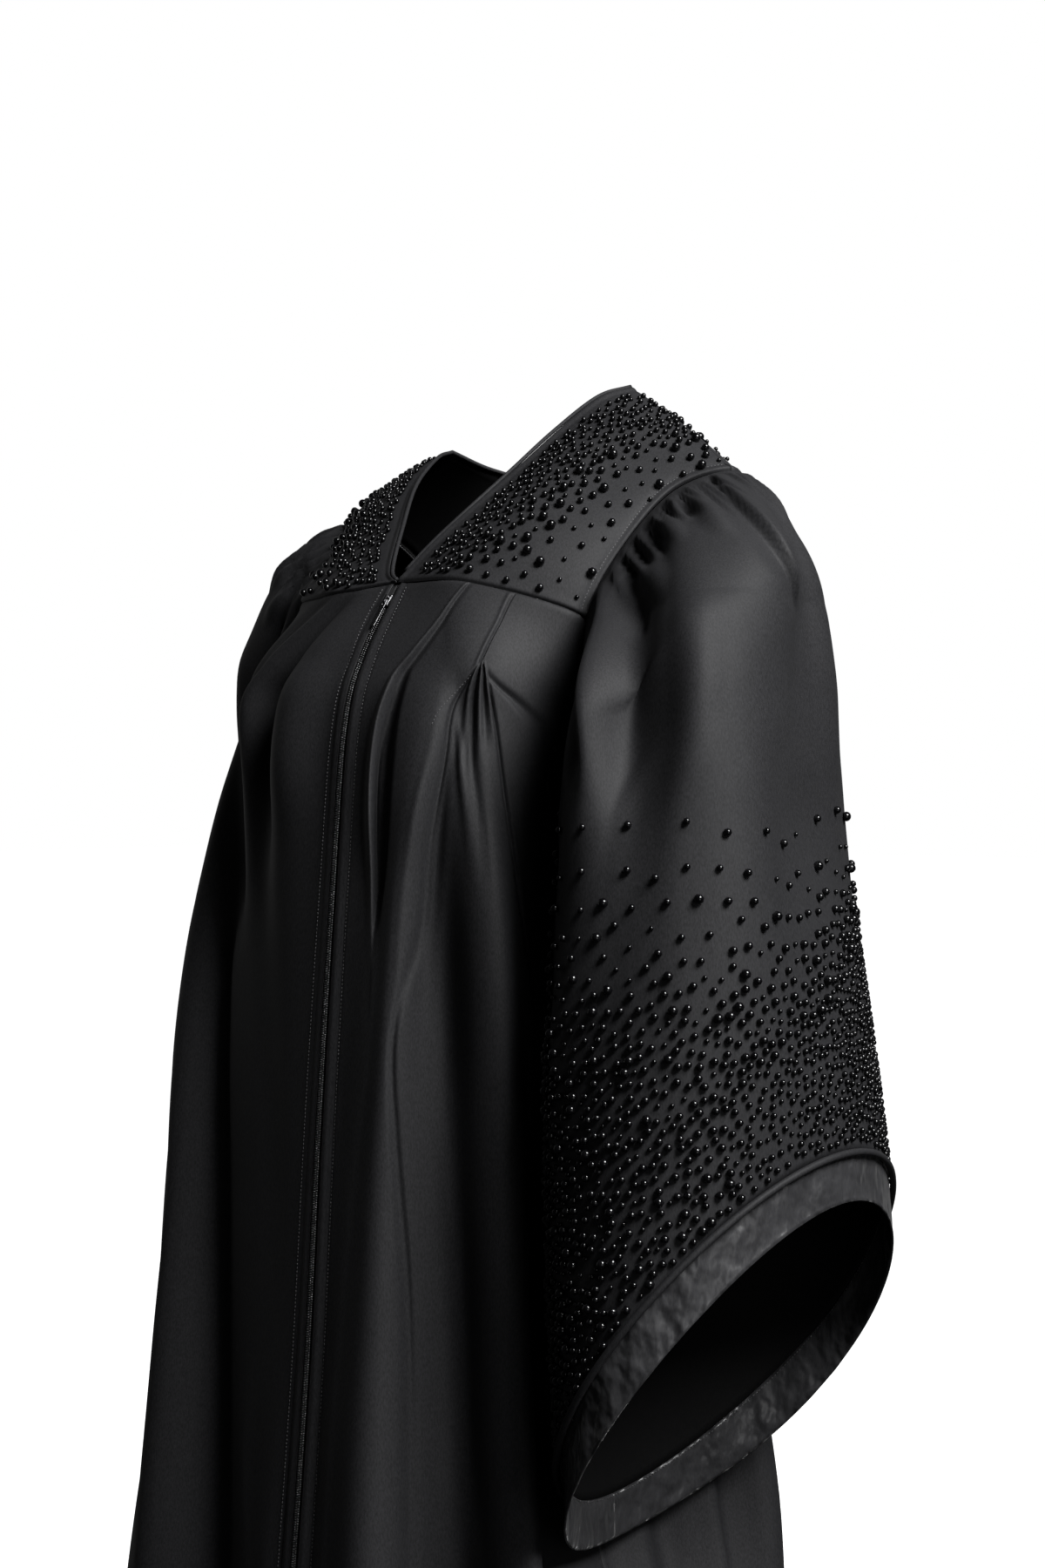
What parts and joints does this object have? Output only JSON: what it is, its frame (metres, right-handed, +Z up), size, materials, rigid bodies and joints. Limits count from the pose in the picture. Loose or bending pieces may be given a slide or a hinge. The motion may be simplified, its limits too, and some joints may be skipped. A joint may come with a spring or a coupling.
{
  "type": "graduation gown",
  "caption": "Black satin graduation gown with pleated fronts, beaded yokes and bell sleeves, open neck, hem and cuffs, and a full-length front zip.",
  "frame": {"origin": "midway between the two neck points, where the wearer's shoulders carry the gown", "axes": "+Z up, the front faces -Y and the wearer's left is +X"},
  "size_m": [0.8364, 0.5809, 1.3877],
  "materials": {
    "black_satin": "matte satin",
    "band_satin": "shiny satin",
    "zip_tape": "woven tape",
    "zip_metal": "black enamel"
  },
  "bodies": {
    "gown": {"front_left": "black_satin", "front_right": "black_satin", "back": "black_satin", "yoke_front_left": "black_satin", "yoke_front_right": "black_satin", "yoke_back": "black_satin", "sleeve_left": "black_satin", "sleeve_right": "black_satin", "cuff_band_left": "band_satin", "cuff_band_right": "band_satin", "cuff_piping_left": "black_satin", "cuff_piping_right": "black_satin", "neck_binding": "black_satin", "zip_tape_left": "zip_tape", "zip_tape_right": "zip_tape", "zip_chain": "zip_metal", "zip_slider": "zip_metal", "zip_stop": "zip_metal"},
    "pull_tab": {"zip_pull_tab": "zip_metal"}
  },
  "joints": [
    {"name": "pull_tab_hinge", "type": "hinge", "parent": "gown", "child": "pull_tab", "pos_m": [0, -0.21726, -0.18958], "axis": [-1, 0, 0], "range_deg": [0, 135]}
  ]
}
